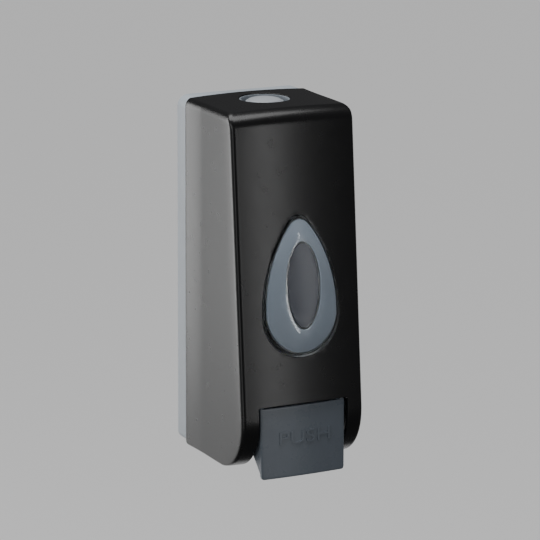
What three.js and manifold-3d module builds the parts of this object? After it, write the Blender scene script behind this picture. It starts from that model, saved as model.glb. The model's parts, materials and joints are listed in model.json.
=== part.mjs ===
// Wall mounted soap dispenser: a back plate with a soap reservoir and a push-up pump, under a
// cover that tips forward on two hinge pins, with a push lever and a latch button.
// Millimetres. The origin is the centre of the back plate's rear face, on the wall.
// +X is to the right, the front faces -Y and +Z is up.
import * as THREE from 'three';
import { mergeVertices } from 'three/addons/utils/BufferGeometryUtils.js';
import { ParametricGeometry } from 'three/addons/geometries/ParametricGeometry.js';
import Module from 'manifold-3d';

const wasm = await Module();
wasm.setup();

// ---- Driving dimensions ----
const height = 200;               // cover, top to bottom
const width = 76;                 // cover, side to side
const topDepth = 69.5;            // wall to the cover's front, at its top
const bottomDepth = 88;           // wall to the cover's front, carried down to its bottom
const plateDepth = 11;            // back plate, with its rim
const wall = 2.2;                 // moulded wall of the cover
const gap = 0.3;                  // between pieces that meet
const pumpY = -45;                // pump's axis

// ---- Cover ----
const halfHeight = height / 2;
const halfWidth = width / 2;
const bow = 2;                    // the front's middle stands out this far past its sides
const crown = 1.3;                // the top's middle stands above its sides
const edgeRadius = 2.5;           // upright front edges
const topFrontRadius = 9.5;
const topSideRadius = 5;
const bottomFrontRadius = 33;
const bottomSideRadius = 1.5;
const hingeRadius = 3;            // lower rear corner, around the hinge axis
const cutOff = 0.5;               // the flat top cuts this much off the top of its edge rounds
const coverRear = -(plateDepth + 0.4);
const hingeY = coverRear - hingeRadius;
const hingeZ = -halfHeight + hingeRadius;

// ---- Button and latch ----
const buttonY = -33.35;
const buttonHoleRadius = 14.2;
const guideRadius = 13.2;         // bore of the cup that the button stands in
const buttonRadius = 10.7;
const buttonRimZ = 98.5;
const guideFloorZ = 84;
const linerZ = 99.4;              // the cup's lip, inside the hole
const catchZ = 79.5;              // underside of the catch arm
const catchTipY = -30;
const guideScrewX = 20;

// ---- Lever ----
const leverHalfWidth = 25.4;      // at its foot, and across its cheeks
const leverTopHalfWidth = 26.1;
const notchHalfWidth = 27.3;
const notchTopZ = -61.4;
const leverTop = { y: -82.6, z: -62.5 };
const leverFoot = { y: -84.3, z: -102.6 };
const leverPivot = { y: -76, z: -58 };
const padCentre = { y: -48, z: -86.3 };
const padRadius = 2;

// ---- Window ----
const dropZ = -12.3;              // height of the widest place of the drop
const dropRadius = 23.2;          // its round foot
const dropSideRadius = 85;
const dropHeight = 54.8;          // from the widest place to the top
const ovalHalfWidth = 10.1;
const ovalHalfHeight = 23.8;
const ovalRise = 16.6;            // the oval's centre above the widest place
const lensCrown = 4.8;            // the lens stands this far out of the cover

// ---- Pump, from the reservoir's neck down ----
const reservoirFloorZ = -50;
const neckRadius = 15;
const neckEndZ = -66;
const cylinderRadius = 7.3;       // bore that the piston runs in
const stemRadius = 3.6;
const flangeZ = -84;              // underside of the nozzle's flange
const nozzleTipZ = -103;

// ---- Back plate and reservoir ----
const plateHalfWidth = 37.5;
const plateHalfHeight = 99;
const panel = 2.5;                // thickness of the plate behind its rim
const screwX = 22;
const screwZ = 76;
const bracketScrewX = 19.5;
const bracketScrewZ = -60;
const reservoirHalfWidth = 33.5;
const reservoirTopZ = 60;

// ---- Materials ----
const finishes = {
  black: { color: 0x161617, roughness: 0.42, metalness: 0 },
  mist: { color: 0xb3bcc4, roughness: 0.5, metalness: 0 },
  slate: { color: 0x4f5861, roughness: 0.45, metalness: 0 },
  haze: { color: 0x8b959e, roughness: 0.4, metalness: 0 },
  pale: { color: 0xaab0b4, roughness: 0.4, metalness: 0 },
  clear: { color: 0xdfe5ea, roughness: 0.1, metalness: 0, transparent: true, opacity: 0.35 },
  smoke: { color: 0x3d3f47, roughness: 0.15, metalness: 0, transparent: true, opacity: 0.7 },
  milky: { color: 0xe6e6e0, roughness: 0.5, metalness: 0 },
  white: { color: 0xe8e8e8, roughness: 0.5, metalness: 0 },
  rubber: { color: 0x2a2a2c, roughness: 0.8, metalness: 0 },
  steel: { color: 0xb8babd, roughness: 0.3, metalness: 1 },
};

// ---- Solids from geometries ----

// Shared corners merged, triangles of no area dropped and faces turned outward.
function welded(geometry) {
  const plain = geometry.clone();
  plain.deleteAttribute('normal');
  plain.deleteAttribute('uv');
  const merged = mergeVertices(plain, 1e-4);
  const at = (i) => new THREE.Vector3().fromBufferAttribute(merged.attributes.position, i);
  const index = merged.index.array;
  const triangles = [];
  let volume = 0;
  for (let i = 0; i < index.length; i += 3) {
    const [a, b, c] = [index[i], index[i + 1], index[i + 2]];
    if (a !== b && b !== c && c !== a) {
      triangles.push([a, b, c]);
      volume += at(a).dot(at(b).cross(at(c)));
    }
  }
  const outward = volume > 0 ? triangles : triangles.map(([a, b, c]) => [a, c, b]);
  merged.setIndex(outward.flat());
  return merged;
}

function solid(geometry) {
  const closed = welded(geometry);
  const vertProperties = new Float32Array(closed.attributes.position.array);
  const triVerts = new Uint32Array(closed.index.array);
  return new wasm.Manifold(new wasm.Mesh({ numProp: 3, vertProperties, triVerts }));
}

function joined(geometries) {
  return geometries.map(solid).reduce((whole, next) => whole.add(next));
}

function cut(body, tools) {
  return tools.map(solid).reduce((whole, tool) => whole.subtract(tool), body);
}

function geometryOf(manifold) {
  const mesh = manifold.getMesh();
  const geometry = new THREE.BufferGeometry();
  geometry.setAttribute('position', new THREE.BufferAttribute(mesh.vertProperties, 3));
  geometry.setIndex(new THREE.BufferAttribute(mesh.triVerts, 1));
  return geometry;
}

// ---- Basic shapes ----

function box([x0, x1], [y0, y1], [z0, z1]) {
  const geometry = new THREE.BoxGeometry(x1 - x0, y1 - y0, z1 - z0);
  return geometry.translate((x0 + x1) / 2, (y0 + y1) / 2, (z0 + z1) / 2);
}

// A profile of [radius, z] points turned about an upright axis.
function turned(profile, x, y, sides = 24) {
  const points = profile.map(([radius, z]) => new THREE.Vector2(radius, z));
  return new THREE.LatheGeometry(points, sides).rotateX(Math.PI / 2).translate(x, y, 0);
}

function post(x, y, radius, [z0, z1], sides = 16) {
  return turned([[0, z0], [radius, z0], [radius, z1], [0, z1]], x, y, sides);
}

function ring(x, y, [inner, outer], [z0, z1], sides = 24) {
  return turned([[inner, z0], [outer, z0], [outer, z1], [inner, z1], [inner, z0]], x, y, sides);
}

// A round bar along X.
function bar([x0, x1], y, z, radius, sides = 16) {
  const geometry = new THREE.CylinderGeometry(radius, radius, x1 - x0, sides);
  return geometry.rotateZ(Math.PI / 2).translate((x0 + x1) / 2, y, z);
}

// A round bar along Y.
function peg(x, z, radius, [y0, y1], sides = 16) {
  const geometry = new THREE.CylinderGeometry(radius, radius, y1 - y0, sides);
  return geometry.translate(x, (y0 + y1) / 2, z);
}

// An outline of [y, z] points drawn out along X.
function slab(outline, [x0, x1]) {
  const shape = new THREE.Shape(outline.map(([y, z]) => new THREE.Vector2(y, z)));
  const geometry = new THREE.ExtrudeGeometry(shape, { depth: x1 - x0, bevelEnabled: false });
  const turn = new THREE.Matrix4().makeBasis(
    new THREE.Vector3(0, 1, 0), new THREE.Vector3(0, 0, 1), new THREE.Vector3(1, 0, 0));
  return geometry.applyMatrix4(turn).translate(x0, 0, 0);
}

// A rectangle with round corners in the XZ plane, drawn out along Y.
function roundedPlate(halfX, halfZ, topRadius, footRadius, [y0, y1]) {
  const shape = new THREE.Shape();
  const quarter = Math.PI / 2;
  shape.absarc(halfX - topRadius, halfZ - topRadius, topRadius, 0, quarter);
  shape.absarc(-halfX + topRadius, halfZ - topRadius, topRadius, quarter, 2 * quarter);
  shape.absarc(-halfX + footRadius, -halfZ + footRadius, footRadius, 2 * quarter, 3 * quarter);
  shape.absarc(halfX - footRadius, -halfZ + footRadius, footRadius, 3 * quarter, 4 * quarter);
  const options = { depth: y1 - y0, bevelEnabled: false, curveSegments: 3 };
  return new THREE.ExtrudeGeometry(shape, options).rotateX(Math.PI / 2).translate(0, y1, 0);
}

class Helix extends THREE.Curve {
  constructor(radius, turns, z0, z1) {
    super();
    Object.assign(this, { radius, turns, z0, z1 });
  }

  getPoint(t, target = new THREE.Vector3()) {
    const angle = 2 * Math.PI * this.turns * t;
    const z = this.z0 + (this.z1 - this.z0) * t;
    return target.set(this.radius * Math.cos(angle), this.radius * Math.sin(angle), z);
  }
}

// A coil spring of round wire between two heights.
function coil(x, y, radius, wire, turns, [z0, z1]) {
  const section = new THREE.Shape().absarc(0, 0, wire / 2, 0, 2 * Math.PI);
  const path = new Helix(radius, turns, z0 + wire / 2, z1 - wire / 2);
  const options = { steps: turns * 9, extrudePath: path, curveSegments: 3 };
  return new THREE.ExtrudeGeometry(section, options).translate(x, y, 0);
}

// A surface through rows of points, each row a closed loop or one point repeated.
function skinned(rows) {
  const across = rows[0].length;
  const down = rows.length - 1;
  const place = (u, v, target) => {
    target.set(...rows[Math.round(v * down)][Math.round(u * across) % across]);
  };
  return new ParametricGeometry(place, across, down);
}

// The rows of a solid that is closed at both ends by a point in the middle of its end row.
function capped(rows) {
  const middle = (row) => {
    const sum = new THREE.Vector3();
    row.forEach((point) => sum.add(new THREE.Vector3(...point)));
    return row.map(() => sum.clone().divideScalar(row.length).toArray());
  };
  return [middle(rows[0]), ...rows, middle(rows[rows.length - 1])];
}

const steps = (count, from, to) =>
  Array.from({ length: count + 1 }, (_, i) => from + (to - from) * i / count);

// ---- The cover's shape ----

// Distance from the wall to the front's middle at a height, before the edges are rounded.
const frontDepth = (z) => topDepth + (bottomDepth - topDepth) * (halfHeight - z) / height;

// How far a round of this radius draws a face back, at a distance short of its end.
function drawBack(radius, distance) {
  const inside = Math.max(0, radius - Math.max(0, distance));
  return radius - Math.sqrt(radius ** 2 - inside ** 2);
}

// The cover's outline at a height, drawn in by an inset, as points around it.
function coverOutline(z, inset, rear) {
  const topEnd = halfHeight + cutOff - inset;
  const footEnd = -halfHeight + inset;
  const footSide = Math.max(0.4, bottomSideRadius - inset);
  const halfX = halfWidth - inset - drawBack(topSideRadius - inset, topEnd - z)
    - drawBack(footSide, z - footEnd);
  const depth = frontDepth(z) - inset - drawBack(topFrontRadius - inset, topEnd - z)
    - drawBack(bottomFrontRadius - inset, z - footEnd);
  const radius = Math.max(0.5, edgeRadius - inset);
  const frontY = (x) => -(depth - bow * (x / halfWidth) ** 2);
  const cornerX = halfX - radius;
  const cornerY = frontY(cornerX) + radius;
  const crownZ = (x) => z - (z > 0 ? crown * (x / halfWidth) ** 2 * (z / halfHeight) ** 8 : 0);
  const front = steps(8, -cornerX, cornerX).map((x) => [x, frontY(x)]);
  const corner = steps(2, 0, Math.PI / 2).slice(1)
    .map((t) => [cornerX + radius * Math.sin(t), cornerY - radius * Math.cos(t)]);
  const right = [...corner, [halfX, (cornerY + rear) / 2], [halfX, rear]];
  const back = steps(4, halfX, -halfX).slice(1, -1).map((x) => [x, rear]);
  const left = right.slice().reverse().map(([x, y]) => [-x, y]);
  return [...front, ...right, ...back, ...left].map(([x, y]) => [x, y, crownZ(x)]);
}

// The cover filled in, drawn in by an inset.
function coverBlock(inset, rearAt) {
  const top = halfHeight - inset;
  const foot = -halfHeight + inset;
  const footRise = bottomFrontRadius - inset;
  const footRound = steps(7, 0, Math.PI / 2).map((t) => foot + footRise * (1 - Math.cos(t)));
  const topRound = [7.5, 5, 3, 1.6, 0.6].map((drop) => top - drop);
  const levels = [foot, foot + 0.5, ...footRound.slice(2), ...topRound, top];
  const rows = levels.map((z) => coverOutline(z, inset, rearAt(z)));
  const last = rows[rows.length - 1];
  const middleY = -35;
  const crownRows = [0.6, 0].map((share) => last.map(([x, y]) => {
    const drop = crown * (share * x / halfWidth) ** 2 * (top / halfHeight) ** 8;
    return [share * x, middleY + (y - middleY) * share, top - drop];
  }));
  const floor = rows[0].map(() => [0, middleY, foot]);
  return skinned([floor, ...rows, ...crownRows]);
}

// ---- The window's shape, in the plane of the leaning front ----

const lean = Math.atan2(bottomDepth - topDepth, height);

// From the window's plane (x, up the slope, out of the front) to the dispenser's frame.
const windowPlane = new THREE.Matrix4().makeBasis(
  new THREE.Vector3(1, 0, 0),
  new THREE.Vector3(0, Math.sin(lean), Math.cos(lean)),
  new THREE.Vector3(0, -Math.cos(lean), Math.sin(lean)),
).setPosition(0, -frontDepth(dropZ), dropZ);

// The drop: a round foot, two long side arcs and a small round top, all tangent.
function dropOutline(offset = 0) {
  const sideCentre = dropRadius - dropSideRadius;
  const tipRadius = (dropSideRadius ** 2 - sideCentre ** 2 - dropHeight ** 2)
    / (2 * (dropSideRadius - dropHeight));
  const tipHeight = dropHeight - tipRadius;
  const turn = Math.atan2(tipHeight, -sideCentre);
  const arc = (cx, cy, radius, from, to, count) => steps(count, from, to)
    .map((t) => [cx + (radius + offset) * Math.cos(t), cy + (radius + offset) * Math.sin(t)]);
  const foot = arc(0, 0, dropRadius, -Math.PI / 2, 0, 6).slice(0, -1);
  const side = arc(sideCentre, 0, dropSideRadius, 0, turn, 4).slice(0, -1);
  const tip = arc(0, tipHeight, tipRadius, turn, Math.PI / 2, 3);
  const half = [...foot, ...side, ...tip];
  const mirrored = half.slice(1, -1).reverse().map(([x, y]) => [-x, y]);
  return [...half, ...mirrored];
}

// The oval on the crown of the drop, with its points in step with the drop's.
function ovalOutline(offset = 0) {
  const drop = dropOutline();
  return drop.map(([x, y]) => {
    const angle = Math.atan2((y - ovalRise) / ovalHalfHeight, x / ovalHalfWidth);
    return [
      (ovalHalfWidth + offset) * Math.cos(angle),
      ovalRise + (ovalHalfHeight + offset) * Math.sin(angle),
    ];
  });
}

// One row of a window piece: part of the way from the drop to the oval, at a height.
function windowRow(share, out, dropOffset = 0, ovalOffset = 0) {
  const oval = ovalOutline(ovalOffset);
  return dropOutline(dropOffset).map(([x, y], i) => [
    x + (oval[i][0] - x) * share,
    y + (oval[i][1] - y) * share,
    out,
  ]);
}

// How far the lens's outer face stands out, from its rim (0) to the oval (1).
const lensHeight = (share) => 1.4 + (lensCrown - 1.4) * Math.sin(share * Math.PI / 2);

const shares = [0.2, 0.5, 1];

function windowLens() {
  const thickness = 1;
  const footing = -5;
  const outer = [0.05, ...shares].map((share) => windowRow(share, lensHeight(share)));
  const inner = [0.1, ...shares]
    .map((share) => windowRow(share, lensHeight(share) - thickness));
  const centre = (out) => windowRow(1, out).map(() => [0, ovalRise, out]);
  return skinned([
    centre(lensCrown + 0.2), ...outer.reverse(), windowRow(0, 0.6), windowRow(0, footing + 1.4),
    windowRow(0, footing + 1.4, 2), windowRow(0, footing, 2), windowRow(0, footing, -1.3),
    windowRow(0, -0.4, -1.3), ...inner, centre(lensCrown + 0.2 - thickness),
  ]).applyMatrix4(windowPlane);
}

function windowBezel() {
  const under = 1 + gap;
  const thickness = 1.1;
  const ringShares = [0.17, 0.5, 0.97];
  const outer = ringShares.map((share) => windowRow(share, lensHeight(share) - under));
  const inner = ringShares.slice().reverse()
    .map((share) => windowRow(share, lensHeight(share) - under - thickness));
  return skinned([...outer, ...inner, outer[0]]).applyMatrix4(windowPlane);
}

function windowPane() {
  const top = lensCrown - 1 - gap;
  const thickness = 1.2;
  const edge = -0.6;
  const centre = (out) => windowRow(1, out).map(() => [0, ovalRise, out]);
  return skinned([
    centre(top), windowRow(1, top, 0, edge), windowRow(1, top - thickness, 0, edge),
    centre(top - thickness),
  ]).applyMatrix4(windowPlane);
}

function windowHole() {
  const grown = (out) => windowRow(0, out, gap);
  const centre = (out) => grown(out).map(() => [0, 0, out]);
  return skinned([centre(-9), grown(-9), grown(9), centre(9)]).applyMatrix4(windowPlane);
}

// ---- Cover pieces ----

function frontCover() {
  const rearRound = (z) => coverRear - drawBack(hingeRadius, z + halfHeight);
  const shell = solid(coverBlock(0, rearRound)).subtract(solid(coverBlock(wall, () => -5)));
  const added = [];
  const removed = [
    post(0, buttonY, buttonHoleRadius, [90, halfHeight + 5], 28),
    box([-notchHalfWidth, notchHalfWidth], [-110, -24], [-halfHeight - 5, notchTopZ]),
    windowHole(),
  ];
  for (const side of [-1, 1]) {
    const span = (a, b) => (side < 0 ? [-b, -a] : [a, b]);
    const innerSide = halfWidth - wall;
    added.push(
      bar(span(32.8, innerSide + 1), hingeY, hingeZ, hingeRadius - 0.1, 20),
      slab([[-82, -52], [-82, -64.5], [-77, -64.5], [-71.5, -60], [-71.5, -55], [-75, -52]],
        span(27.5, 30.5)),
      post(side * guideScrewX, buttonY, 3.2, [91, 98]),
    );
    removed.push(
      box(span(26.8, 32.8), [hingeY - 4, coverRear + 2], [-halfHeight - 1, hingeZ + 4]),
      bar(span(27, 35.6), hingeY, hingeZ, 1.7),
      bar(span(27, 31), leverPivot.y, leverPivot.z, 1.8),
      post(side * guideScrewX, buttonY, 1.6, [90, 96]),
    );
  }
  const whole = added.map(solid).reduce((body, next) => body.add(next), shell);
  const trimmed = whole.intersect(solid(coverBlock(0, rearRound)));
  return geometryOf(cut(trimmed, removed));
}

function buttonGuide() {
  const floor = [guideFloorZ, guideFloorZ + 1.5];
  const cup = joined([
    ring(0, buttonY, [guideRadius, 15.9], [guideFloorZ, 97], 28),
    ring(0, buttonY, [guideRadius, buttonHoleRadius - gap], [96, linerZ], 28),
    post(0, buttonY, 15.2, floor, 28),
    box([-24, 24], [buttonY - 3.4, buttonY + 3.4], [88.5, 90.7]),
  ]);
  return geometryOf(cut(cup, [
    post(0, buttonY, guideRadius - 0.01, [guideFloorZ + 1.5, halfHeight], 28),
    box([-4.6, 4.6], [catchTipY - 5.2, catchTipY + 6.4], [guideFloorZ - 1, guideFloorZ + 3]),
    post(-guideScrewX, buttonY, 1.7, [88, 92]),
    post(guideScrewX, buttonY, 1.7, [88, 92]),
  ]));
}

function panScrew(head, shank, length, sides = 10) {
  const crownHeight = head * 0.62;
  return turned([
    [0, 0], [shank, 0.6], [shank, length], [head, length], [head, length + crownHeight * 0.5],
    [head * 0.7, length + crownHeight], [0, length + crownHeight],
  ], 0, 0, sides);
}

function guideScrew(side) {
  return panScrew(2.8, 1.3, 7).rotateX(Math.PI).translate(side * guideScrewX, buttonY, 95.2);
}

// Cap with a skirt, and a stem that ends in a hook behind the catch.
function latchButton() {
  const cap = turned([
    [0, 95.5], [9, 95.5], [9, 90], [buttonRadius, 90], [buttonRadius, buttonRimZ - 0.8],
    [buttonRadius - 0.6, buttonRimZ], [7, 99.6], [3.5, 100.3], [0, 100.5],
  ], 0, buttonY, 24);
  const front = catchTipY - 4.5;
  const hook = slab([
    [front, 96], [front, 73], [front + 10, 73], [front + 10, 77.1], [front + 7.3, 77.1],
    [front + 7.3, 75], [front + 2.5, 75], [front + 2.5, 96],
  ], [-4, 4]);
  return geometryOf(joined([cap, hook]));
}

function leverPin() {
  return bar([-30.4, 30.4], leverPivot.y, leverPivot.z, 1.5);
}

// ---- Lever ----

// The lever's plate: bowed like the cover and leaning like it, with round lower corners.
function leverPlate(thickness) {
  const cornerRadius = 1.6;
  const row = (z) => {
    const share = (leverTop.z - z) / (leverTop.z - leverFoot.z);
    const middle = leverTop.y + (leverFoot.y - leverTop.y) * share;
    const side = leverTopHalfWidth + (leverHalfWidth - leverTopHalfWidth) * share;
    const halfX = side - drawBack(cornerRadius, z - leverFoot.z);
    const face = steps(8, -halfX, halfX).map((x) => [x, middle + bow * (x / halfWidth) ** 2, z]);
    const back = face.slice().reverse().map(([x, y]) => [x, y + thickness, z]);
    return [...face, ...back];
  };
  const levels = [leverFoot.z, leverFoot.z + 0.3, leverFoot.z + 0.9, leverFoot.z + 1.6, leverTop.z];
  const rows = levels.map(row);
  return skinned(capped(rows));
}

function pushLever() {
  const thickness = 2;
  const cheek = [
    [leverFoot.y + 1.2, leverFoot.z + 1.2], [-66, -84.8], [-66, -72], [-72.6, -57.5],
    [-72.6, -54.6], [-79.3, -54.6], [leverTop.y + 1.2, leverTop.z],
  ];
  const arm = [
    [leverFoot.y + 2.2, -97], [leverTop.y + 0.3, -84], [-62, -88.2], [-50, -87.4], [-42.6, -87.4],
    [-42.6, -90.4], [-60, -91.6],
  ];
  const parts = [leverPlate(thickness)];
  const holes = [];
  for (const side of [-1, 1]) {
    const span = (a, b) => (side < 0 ? [-b, -a] : [a, b]);
    parts.push(
      slab(cheek, span(leverHalfWidth - 2, leverHalfWidth)),
      bar(span(leverHalfWidth - 2, 27.1), leverPivot.y, leverPivot.z, 3.4, 14),
      slab(arm, span(7, 10.5)),
      bar(span(7, 10.5), padCentre.y, padCentre.z, padRadius, 12),
      box(span(7, 10.5), [padCentre.y - padRadius, padCentre.y + padRadius], [-89, padCentre.z]),
    );
    holes.push(bar(span(20, 30), leverPivot.y, leverPivot.z, 1.8));
  }
  return geometryOf(cut(joined(parts), holes));
}

// ---- Pump ----

function pumpCollar() {
  const inside = neckRadius + gap + 0.2;
  return turned([
    [9.5, -71.4], [18, -71.4], [18, -54], [inside, -54], [inside, -69.5], [9.5, -69.5],
    [9.5, -71.4],
  ], 0, pumpY, 28);
}

function neckGasket() {
  return ring(0, pumpY, [10.5, neckRadius - 0.2], [-67.3, neckEndZ - gap], 28);
}

function pumpBody() {
  const outer = 9;
  const body = turned([
    [0, -44.7], [outer, -44.7], [outer, -67.6], [14.6, -67.6], [14.6, -69.1],
    [cylinderRadius, -69.1], [cylinderRadius, -46.5], [0, -46.5],
  ], 0, pumpY, 20);
  const inlets = [0, 1, 2, 3].map((i) => {
    const angle = Math.PI / 4 + i * Math.PI / 2;
    return post(3.2 * Math.cos(angle), pumpY + 3.2 * Math.sin(angle), 0.9, [-48, -43], 8);
  });
  return geometryOf(cut(solid(body), [post(0, pumpY, 1.3, [-48, -43], 12), ...inlets]));
}

// A soft mushroom that covers the inlet holes from inside the pump.
function inletValve() {
  return turned([
    [0, -47.7], [4.8, -47.7], [4.8, -47], [1, -46.8], [1, -44.4], [1.8, -44.1], [0, -42.4],
  ], 0, pumpY, 18);
}

function stemGuide() {
  return turned([
    [stemRadius + gap, -70.5], [8.6, -70.5], [8.6, -69.4], [cylinderRadius - gap, -69.4],
    [cylinderRadius - gap, -64], [stemRadius + gap, -64], [stemRadius + gap, -70.5],
  ], 0, pumpY, 24);
}

function pumpSpring() {
  return coil(0, pumpY, 6.1, 0.9, 3, [-58, -46.8]);
}

function plungerStem() {
  const wide = 2.3;
  const narrow = 1.5;
  return turned([
    [narrow, -58.3], [6.8, -58.3], [6.8, -59.5], [stemRadius, -59.5], [stemRadius, -62.6],
    [5.2, -62.6], [5.2, -63.6], [stemRadius, -63.6], [stemRadius, -91.7], [wide, -91.7],
    [wide, -78], [narrow, -78], [narrow, -58.3],
  ], 0, pumpY, 16);
}

function pistonSeal() {
  return ring(0, pumpY, [stemRadius + gap, cylinderRadius - gap], [-62.3, -59.8], 24);
}

function outletBall() {
  return new THREE.SphereGeometry(1.9, 12, 8).rotateX(Math.PI / 2).translate(0, pumpY, -80.3);
}

function outletSpring() {
  return coil(0, pumpY, 1.7, 0.4, 4, [-91.6, -82.6]);
}

// A flange that the lever lifts, over a tapered spout.
function nozzle() {
  const socket = stemRadius + gap;
  return turned([
    [socket, flangeZ + 1.6], [12.5, flangeZ + 1.6], [12.5, flangeZ], [5.2, flangeZ],
    [5.2, -96], [4.2, -98], [3.1, nozzleTipZ], [1.6, nozzleTipZ], [1.3, -92], [socket, -92],
    [socket, flangeZ + 1.6],
  ], 0, pumpY, 20);
}

// ---- Reservoir ----

// A box with round upright edges whose front slopes like the cover's.
function reservoirBlock(inset, z0, z1) {
  const radius = 6 - inset;
  const rear = -8 - inset;
  const row = (z) => {
    const front = -(62 + 10 * (reservoirTopZ - z) / (reservoirTopZ - reservoirFloorZ)) + inset;
    const halfX = reservoirHalfWidth - inset;
    const corners = [[1, front], [-1, front], [-1, rear], [1, rear]];
    return corners.flatMap(([side, y], i) => {
      const cx = side * (halfX - radius);
      const cy = y + (i < 2 ? radius : -radius);
      const start = [0, -Math.PI / 2, Math.PI, Math.PI / 2][i];
      return steps(4, start, start - Math.PI / 2)
        .map((t) => [cx + radius * Math.cos(t), cy + radius * Math.sin(t), z]);
    });
  };
  return skinned(capped([row(z0), row(z1)]));
}

function reservoir() {
  const skin = 1.6;
  const outer = solid(reservoirBlock(0, reservoirFloorZ, reservoirTopZ))
    .add(solid(post(0, pumpY, neckRadius, [neckEndZ, reservoirFloorZ + 1], 28)))
    .add(solid(ring(0, pumpY, [neckRadius - 1, neckRadius + 0.2], [-65, -63.8], 28)));
  return geometryOf(cut(outer, [
    reservoirBlock(skin, reservoirFloorZ + skin, reservoirTopZ + 5),
    post(0, pumpY, neckRadius - 2, [neckEndZ - 1, reservoirFloorZ + 3], 28),
  ]));
}

function reservoirLid() {
  const under = reservoirTopZ + gap;
  const plug = solid(reservoirBlock(1.6 + gap, under - 4, under + 0.5))
    .subtract(solid(reservoirBlock(3.2, under - 5, under - 0.01)));
  const top = solid(reservoirBlock(0, under, under + 1.8));
  const tab = box([-8, 8], [-63.2, -61], [under, under + 1.8]);
  return geometryOf(cut(plug.add(top).add(solid(tab)), [post(22, -20, 1, [under - 6, under + 3], 10)]));
}

function neckBracket() {
  const shelf = [-52.6, -50.4];
  const bossFace = -5.3;
  const body = joined([
    box([-25, 25], [-63, bossFace], shelf),
    box([-25, 25], [bossFace - 2.2, bossFace], [-68, -50.4]),
    slab([[bossFace - 1, -66], [bossFace - 1, -51], [-26, -51]], [-25, -23]),
    slab([[bossFace - 1, -66], [bossFace - 1, -51], [-26, -51]], [23, 25]),
  ]);
  return geometryOf(cut(body, [
    post(0, pumpY, neckRadius + 0.5, [-54, -49], 28),
    peg(-bracketScrewX, bracketScrewZ, 1.8, [-9, -4]),
    peg(bracketScrewX, bracketScrewZ, 1.8, [-9, -4]),
  ]));
}

function bracketScrew(side) {
  return panScrew(3, 1.5, 6.4).rotateX(Math.PI / 2).translate(side * bracketScrewX, -1.4, bracketScrewZ);
}

// ---- Back plate ----

function hingePin(side) {
  const shaft = bar([28.2, 35.2], hingeY, hingeZ, 1.4);
  const head = bar([27.2, 28.4], hingeY, hingeZ, 2.4);
  const pin = joined([shaft, head]);
  return geometryOf(pin).rotateZ(side < 0 ? Math.PI : 0).translate(0, side < 0 ? 2 * hingeY : 0, 0);
}

function backPlate() {
  const rim = 2;
  const tray = solid(roundedPlate(plateHalfWidth, plateHalfHeight, 6.5, 4, [-plateDepth, 0]))
    .subtract(solid(roundedPlate(plateHalfWidth - rim, plateHalfHeight - rim, 4.5, 2.4,
      [-plateDepth - 1, -panel])));
  const ribs = [-14, 14].map((x) => box([x - 1, x + 1], [-7.7, -panel + 0.5], [-40, 60]));
  const arm = slab([
    [-1, catchZ - 9], [-1, catchZ + 3], [catchTipY, catchZ + 3], [catchTipY, catchZ - 2],
    [catchTipY + 2.5, catchZ - 2], [catchTipY + 2.5, catchZ], [-10, catchZ],
  ], [-5, 5]);
  const added = [...ribs, arm];
  const removed = [];
  for (const side of [-1, 1]) {
    const span = (a, b) => (side < 0 ? [-b, -a] : [a, b]);
    added.push(
      peg(side * bracketScrewX, bracketScrewZ, 4, [-5, -1], 12),
      bar(span(28.8, 32.2), hingeY, hingeZ, hingeRadius - 0.1, 14),
      box(span(28.8, 32.2), [hingeY, -1], [hingeZ - 2.4, hingeZ + 2.9]),
    );
    removed.push(
      bar(span(28.4, 33), hingeY, hingeZ, 1.7),
      peg(side * bracketScrewX, bracketScrewZ, 1.8, [-6, -1.1], 10),
    );
    for (const z of [-screwZ, screwZ]) {
      added.push(peg(side * screwX, z, 7, [-4, -1], 12));
      removed.push(
        box([side * screwX - 2.5, side * screwX + 2.5], [-8, 1], [z - 2, z + 2]),
        peg(side * screwX, z - 2, 2.5, [-8, 1], 10),
        peg(side * screwX, z + 2, 2.5, [-8, 1], 10),
      );
    }
  }
  const whole = added.map(solid).reduce((body, next) => body.add(next), tray);
  return geometryOf(cut(whole, removed));
}

function latchSpring() {
  return coil(0, buttonY, 7, 0.8, 4, [guideFloorZ + 1.8, 95.2]);
}

// ---- The dispenser ----

const pieces = [
  ['back_plate', 'mist', backPlate()],
  ['hinge_pin_left', 'steel', hingePin(-1)],
  ['hinge_pin_right', 'steel', hingePin(1)],
  ['neck_bracket', 'mist', neckBracket()],
  ['bracket_screw_left', 'steel', bracketScrew(-1)],
  ['bracket_screw_right', 'steel', bracketScrew(1)],
  ['reservoir', 'milky', reservoir()],
  ['reservoir_lid', 'white', reservoirLid()],
  ['neck_gasket', 'rubber', neckGasket()],
  ['pump_collar', 'white', pumpCollar()],
  ['pump_body', 'white', pumpBody()],
  ['stem_guide', 'white', stemGuide()],
  ['inlet_valve', 'rubber', inletValve()],
  ['pump_spring', 'steel', pumpSpring()],
  ['plunger_stem', 'white', plungerStem()],
  ['piston_seal', 'rubber', pistonSeal()],
  ['outlet_ball', 'steel', outletBall()],
  ['outlet_spring', 'steel', outletSpring()],
  ['nozzle', 'white', nozzle()],
  ['front_cover', 'black', frontCover()],
  ['window_lens', 'clear', windowLens()],
  ['window_bezel', 'haze', windowBezel()],
  ['window_pane', 'smoke', windowPane()],
  ['button_guide', 'haze', buttonGuide()],
  ['guide_screw_left', 'steel', guideScrew(-1)],
  ['guide_screw_right', 'steel', guideScrew(1)],
  ['latch_button', 'pale', latchButton()],
  ['latch_spring', 'steel', latchSpring()],
  ['lever_pin', 'steel', leverPin()],
  ['push_lever', 'slate', pushLever()],
];

const dispenser = new THREE.Group();
for (const [name, finish, geometry] of pieces) {
  const mesh = new THREE.Mesh(welded(geometry), new THREE.MeshStandardMaterial(finishes[finish]));
  mesh.name = name;
  dispenser.add(mesh);
}

export default dispenser;
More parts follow.
